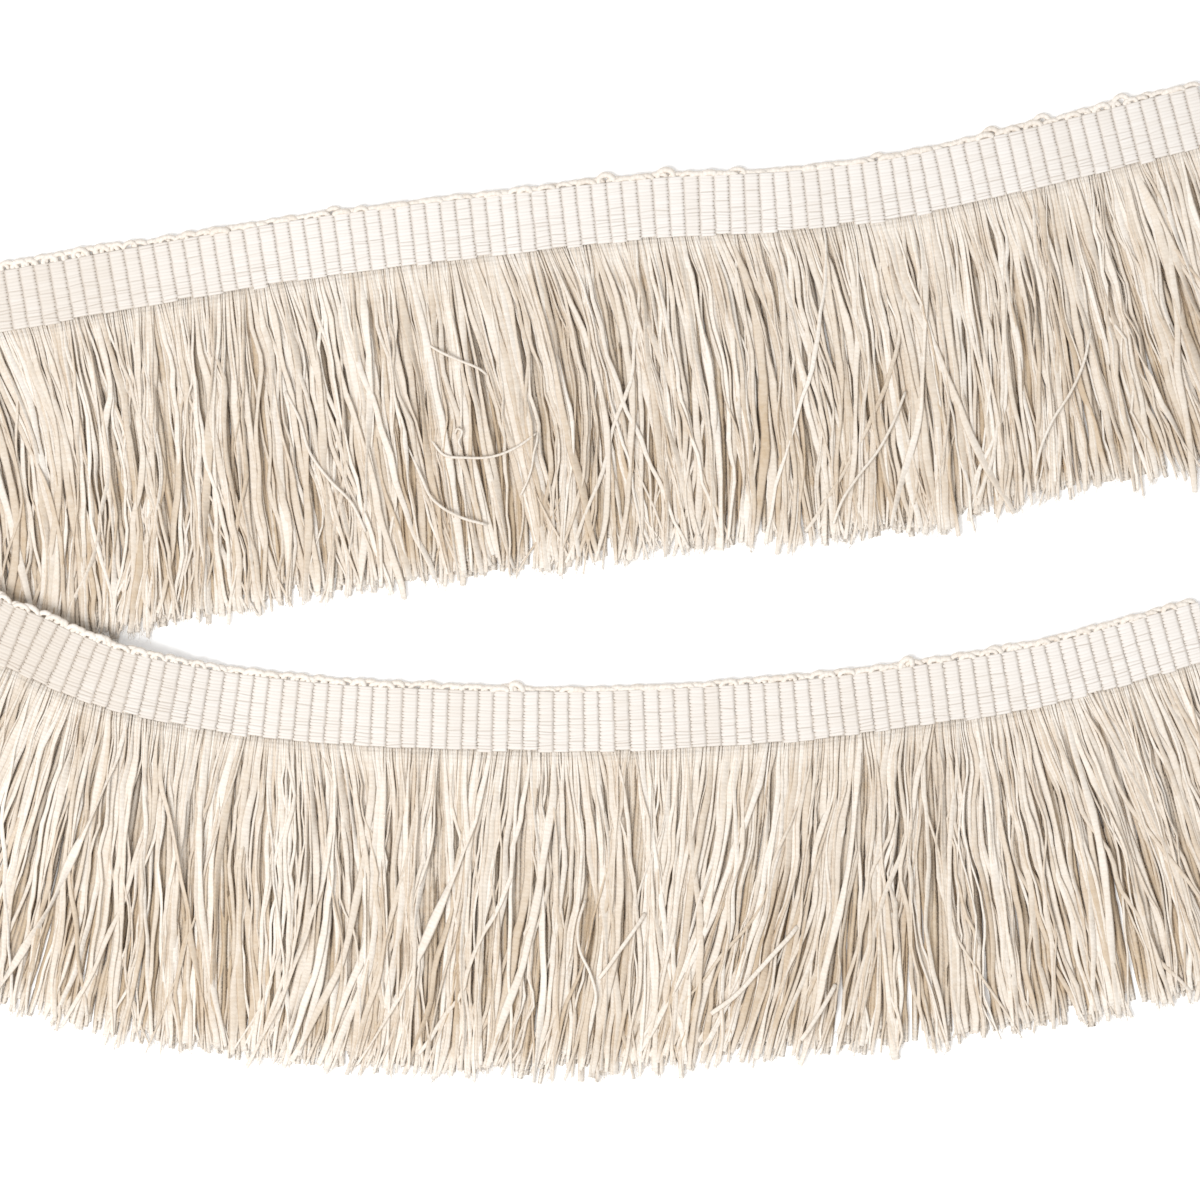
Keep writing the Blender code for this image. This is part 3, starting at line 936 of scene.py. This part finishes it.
def fringePiece(name, layer, start, end, material, chance):
    # a flat tube on each centre line, which goes out of the root along the lean, with an offset to the side
    look = layers[layer]
    count = int((end - start) / heading["ribPitch"] * look["perRib"])
    step = (end - start) / count
    aside = chance.uniform(-fringe["rootUneven"], fringe["rootUneven"], count)
    along = start + (np.arange(count) + 0.5 + aside) * step
    number, clumpMiddle = clumpsOf(count, look["clumpSize"], chance)
    clumps = number[-1] + 1
    share = np.linspace(0.0, 1.0, look["rings"])[None]

    knots = np.arange(start - fringe["groupPitch"], end + fringe["groupPitch"], fringe["groupPitch"])
    groupLean = np.interp(along, knots, chance.normal(0.0, look["groupLean"], len(knots)))
    groupBow = np.interp(along, knots, chance.normal(0.0, look["groupBow"], len(knots)))
    clumpLean = chance.normal(0.0, look["clumpLean"], clumps)[number]
    stray = chance.random(count) < look["strayShare"]
    ownLean = chance.normal(0.0, 1.0, count) * np.where(stray, look["strayLean"], look["ownLean"])
    lean, rootBend, tipBend = bendsOf(along)
    lean = lean + np.radians(groupLean + clumpLean)
    forward = np.stack([np.sin(lean), -np.cos(lean)], axis=-1)
    over = turnedShare(along) > 0.5
    lateral = np.stack([forward[:, 1], -forward[:, 0]], axis=-1) * np.where(over, -1.0, 1.0)[:, None]
    length = yarnLengths(look, along, over, number, chance)

    kinds = np.array(look["kinds"])
    kind = chance.choice(len(kinds), count, p=kinds[:, 0])
    width = kinds[kind, 1] + chance.random(count) * (kinds[kind, 2] - kinds[kind, 1])
    loose = fringe["loosest"] - fringe["tighter"] * width / fringe["usualWidth"]
    toMiddle = (clumpMiddle - np.arange(count)) * step
    offset = sideOffsets(look, share, length, loose, number, toMiddle, ownLean, groupBow, chance)
    # the bend turns the yarn steadily from the root's way to the middle's, and on to the tip's
    early, late = np.minimum(share, 0.5), np.maximum(share - 0.5, 0.0)
    bend = column(rootBend) * (early - early**2) + column(tipBend) * late**2
    offset = offset + column(np.where(over, length, -length)) * bend

    root = onTrim(along, np.full(count, heading["width"] / 2 - fringe["rootInset"]), np.zeros(count))
    centres = np.empty((count, look["rings"], 3))
    centres[..., :2] = root[:, None, :2] + forward[:, None] * (column(length) * share)[..., None]
    centres[..., :2] += lateral[:, None] * offset[..., None]
    centres[..., 2] = yarnHeights(look, share, along, root[:, 2], number, stray, chance)
    halfWidth = yarnHalfWidths(share, width, loose, chance)
    halfHeight = np.full_like(halfWidth, look["thickness"] / 2)
    roll = yarnRoll(look, share, count, chance)
    ahead, flatSide, flatUp = levelFrame(centres)
    sideways = flatSide * np.cos(roll)[..., None] + flatUp * np.sin(roll)[..., None]
    upwards = flatUp * np.cos(roll)[..., None] - flatSide * np.sin(roll)[..., None]
    reach = np.sqrt((halfWidth * np.sin(roll)) ** 2 + (halfHeight * np.cos(roll)) ** 2)
    centres[..., 2] = np.maximum(centres[..., 2], reach + fringe["floorGap"])
    tone, sides = yarnTones(look, share, count, chance), look["sides"]
    piece = tubesPiece(name, centres, sideways, upwards, halfWidth, halfHeight, sides, material, tone)
    return piece, centres[:, -1], ahead[:, -1]


# fuzz at the cut ends, and single yarns that lie across the others

fuzz = {
    "perTip": 4,
    "length": (0.0008, 0.0030),
    "spread": 0.42,
    "bend": 0.25,
    "sunk": 0.0004,
    "aside": 0.00025,
    "lowest": 0.0001,
    "thickness": 0.00012,
    "taper": 0.5,
    "tone": 0.15,
    "rings": 4,
    "sides": 4,
}


def fuzzPiece(tips, ways, material, chance):
    # short fibres from each tip: along the yarn's way turned by a drawn angle, and aside by a share squared
    tips, ways = np.repeat(tips, fuzz["perTip"], axis=0), np.repeat(ways, fuzz["perTip"], axis=0)
    count = len(tips)
    turn = chance.normal(0.0, fuzz["spread"], count)[:, None]
    side = np.stack([ways[:, 1], -ways[:, 0], np.zeros(count)], axis=1)
    side /= np.linalg.norm(side, axis=1, keepdims=True)
    length = chance.uniform(*fuzz["length"], count)
    share = np.linspace(0.0, 1.0, fuzz["rings"])[None, :, None]
    bend = chance.normal(0.0, fuzz["bend"], count)[:, None, None]
    starts = tips - ways * fuzz["sunk"] + side * chance.normal(0.0, fuzz["aside"], count)[:, None]
    way = ways * np.cos(turn) + side * np.sin(turn)
    reach = length[:, None, None] * share
    centres = starts[:, None] + way[:, None] * reach + side[:, None] * (reach * share * bend)
    centres[..., 2] = np.maximum(centres[..., 2], fuzz["lowest"])
    sideways = np.broadcast_to(side[:, None], centres.shape)
    upwards = np.cross(sideways, np.broadcast_to(way[:, None], centres.shape))
    half = np.full(centres.shape[:2], fuzz["thickness"] / 2) * (1.0 - fuzz["taper"] * share[..., 0])
    tone = np.full(count, fuzz["tone"])
    piece = tubesPiece("tipFuzz", centres, sideways, upwards, half, half, fuzz["sides"], material, tone)


# Each stray yarn has its width in metres, then six places of its curve in the photo's pixels, x to the right
# and y down.
strays = {
    "height": 0.0036,
    "sunk": 0.0012,
    "thickness": 0.0006,
    "tone": 0.2,
    "stepsEach": 6,
    "sides": 6,
    "rows": (
        (0.0007, (430, 346), (440, 352), (455, 359), (470, 365), (479, 369), (487, 375)),
        (0.0007, (432, 441), (444, 455), (466, 458), (492, 457), (516, 448), (537, 433)),
        (0.0006, (538, 433), (537, 442), (534, 453), (532, 467), (528, 480), (521, 495)),
        (0.0006, (455, 434), (458, 429), (462, 431), (461, 437), (459, 441), (462, 450)),
        (0.0008, (413, 457), (422, 478), (431, 497), (443, 508), (460, 517), (487, 525)),
        (0.0008, (286, 392), (300, 420), (310, 452), (330, 480), (352, 503), (366, 532)),
        (0.0008, (905, 392), (893, 422), (878, 450), (858, 476), (842, 500), (833, 524)),
        (0.0008, (1090, 330), (1083, 362), (1070, 392), (1052, 420), (1040, 448), (1034, 476)),
        (0.0008, (585, 900), (578, 925), (580, 950), (590, 972), (596, 996), (592, 1020)),
        (0.0013, (797, 926), (789, 936), (775, 951), (757, 971), (736, 994), (711, 1013)),
        (0.0012, (835, 984), (829, 995), (822, 1007), (815, 1018), (808, 1029), (801, 1039)),
        (0.0011, (645, 913), (637, 925), (628, 938), (618, 952), (609, 965), (599, 978)),
    ),
}


def strayPiece(material):
    # an oval section along each smooth curve, which dips to both of its ends by a fourth power
    lines = []
    for _, *places in strays["rows"]:
        pixels = smoothPlaces(places, strays["stepsEach"])
        lines.append(np.stack([pixels[:, 0], photo["pixels"] - pixels[:, 1]], axis=1))
    level = np.array(lines) * photo["metresPerPixel"] - originPlace
    share = np.linspace(0.0, 1.0, level.shape[1])
    height = strays["height"] - strays["sunk"] * (2 * share - 1) ** 4
    centres = np.concatenate([level, np.broadcast_to(height[None, :, None], (*level.shape[:2], 1))], axis=2)
    _, sideways, upwards = levelFrame(centres)
    halfWidth = np.broadcast_to(column([row[0] for row in strays["rows"]]) / 2, centres.shape[:2])
    halfHeight = np.full(centres.shape[:2], strays["thickness"] / 2)
    tone, sides = np.full(len(lines), strays["tone"]), strays["sides"]
    piece = tubesPiece("strayYarns", centres, sideways, upwards, halfWidth, halfHeight, sides, material, tone)


# floor, camera and light

studio = {
    "floorSize": 6.0,
    "floorColour": (0.93, 0.93, 0.93),
    "floorRoughness": 0.9,
    "floorGlow": 0.14,
    "cameraHeight": 1.6,
    "cameraAim": (0.1584, 0.1584),
    "sensorWidth": 36.0,
    "skyStrength": 0.75,
    "keyPlace": (-0.7, -0.6, 1.5),
    "keySize": 0.9,
    "keyPower": 26.0,
}


def floorPlane():
    bpy.ops.mesh.primitive_plane_add(size=studio["floorSize"])
    floor = bpy.context.object
    floor.name = "floor"
    material, _, shader = nodeTree("floorPaper", studio["floorRoughness"], 0.0)
    shader.inputs["Base Color"].default_value = (*studio["floorColour"], 1.0)
    shader.inputs["Emission Color"].default_value = (1.0, 1.0, 1.0, 1.0)
    shader.inputs["Emission Strength"].default_value = studio["floorGlow"]
    floor.data.materials.append(material)


def aimedAt(thing, target):
    # tipped up from straight down by the slope of the way to the target, then turned round to face it
    direction = np.array(target) - np.array(thing.location)
    flat = math.hypot(direction[0], direction[1])
    turn = math.atan2(direction[1], direction[0]) - math.pi / 2
    thing.rotation_euler = (math.atan2(flat, -direction[2]), 0.0, turn)


def cameraAbove():
    camera = bpy.data.objects.new("camera", bpy.data.cameras.new("camera"))
    bpy.context.scene.collection.objects.link(camera)
    bpy.context.scene.camera = camera
    aim = np.array(studio["cameraAim"]) - originPlace
    camera.location = (aim[0], aim[1], studio["cameraHeight"])
    camera.data.sensor_width = studio["sensorWidth"]
    view = photo["pixels"] * photo["metresPerPixel"]
    camera.data.lens = studio["sensorWidth"] * studio["cameraHeight"] / view


def studioLight():
    world = bpy.data.worlds.new("studio")
    bpy.context.scene.world = world
    world.use_nodes = True
    world.node_tree.nodes["Background"].inputs["Color"].default_value = (1.0, 1.0, 1.0, 1.0)
    world.node_tree.nodes["Background"].inputs["Strength"].default_value = studio["skyStrength"]
    light = bpy.data.lights.new("key", "AREA")
    light.size = studio["keySize"]
    light.energy = studio["keyPower"]
    key = bpy.data.objects.new("key", light)
    bpy.context.scene.collection.objects.link(key)
    key.location = studio["keyPlace"]
    aimedAt(key, (0.0, 0.0, 0.0))
    bpy.context.scene.view_settings.view_transform = "Standard"


print("floor, camera and light")
floorPlane()
cameraAbove()
studioLight()

print("heading")
tapeFinish = tapeMaterial("wovenHeading", tapeLook)
yarnFinish = yarnMaterial("chainetteYarn", yarnLook)
loopFinish = yarnMaterial("picotYarn", loopLook)
tapeChance = np.random.default_rng(heading["seed"])
tapeParts = [
    headingPiece("headingFirstPass", 0.0, rollStart, 1.0, tapeFinish, tapeChance),
    headingPiece("headingSecondPass", rollStart, routeLength, -1.0, tapeFinish, tapeChance),
]

print("picot loops")
picotChance = np.random.default_rng(picots["seed"])
loopParts = [
    picotPiece("picotsFirstPass", picots["endGap"], rollStart, loopFinish, picotChance),
    picotPiece("picotsSecondPass", rollStart, routeLength - picots["endGap"], loopFinish, picotChance),
]

print("fringe")
fringeChance = np.random.default_rng(fringe["seed"])
rollMiddle, turnEnd = (rollStart + rollEnd) / 2, reachesX(turnEndsAt)
upperNodes = ("fringe_upper_right", "fringe_upper_left")
turnNodes = ("fringe_turn_back", "fringe_turn_side", "fringe_turn_front")
lowerNodes = ("fringe_lower_left", "fringe_lower_middle", "fringe_lower_right")
stretches = (
    ("fringeUpper", fringe["endGap"], rollMiddle, upperNodes),
    ("fringeTurn", rollMiddle, turnEnd, turnNodes),
    ("fringeLower", turnEnd, routeLength - fringe["endGap"], lowerNodes),
)
fringeParts, tipPlaces, tipWays = {}, [], []
for name, start, end, nodes in stretches:
    for layer in layers:
        part, tips, ahead = fringePiece(name + layer, layer, start, end, yarnFinish, fringeChance)
        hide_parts(*nodes)
        fringeParts[name + layer] = part
        if layer == "Face":
            tipPlaces.append(tips)
            tipWays.append(ahead)

print("fuzz and stray yarns")
fuzzPiece(np.concatenate(tipPlaces), np.concatenate(tipWays), yarnFinish, fringeChance)
strayPiece(yarnFinish)

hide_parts("heading_first_pass", "heading_turn")
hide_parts("heading_turn", "heading_second_pass")
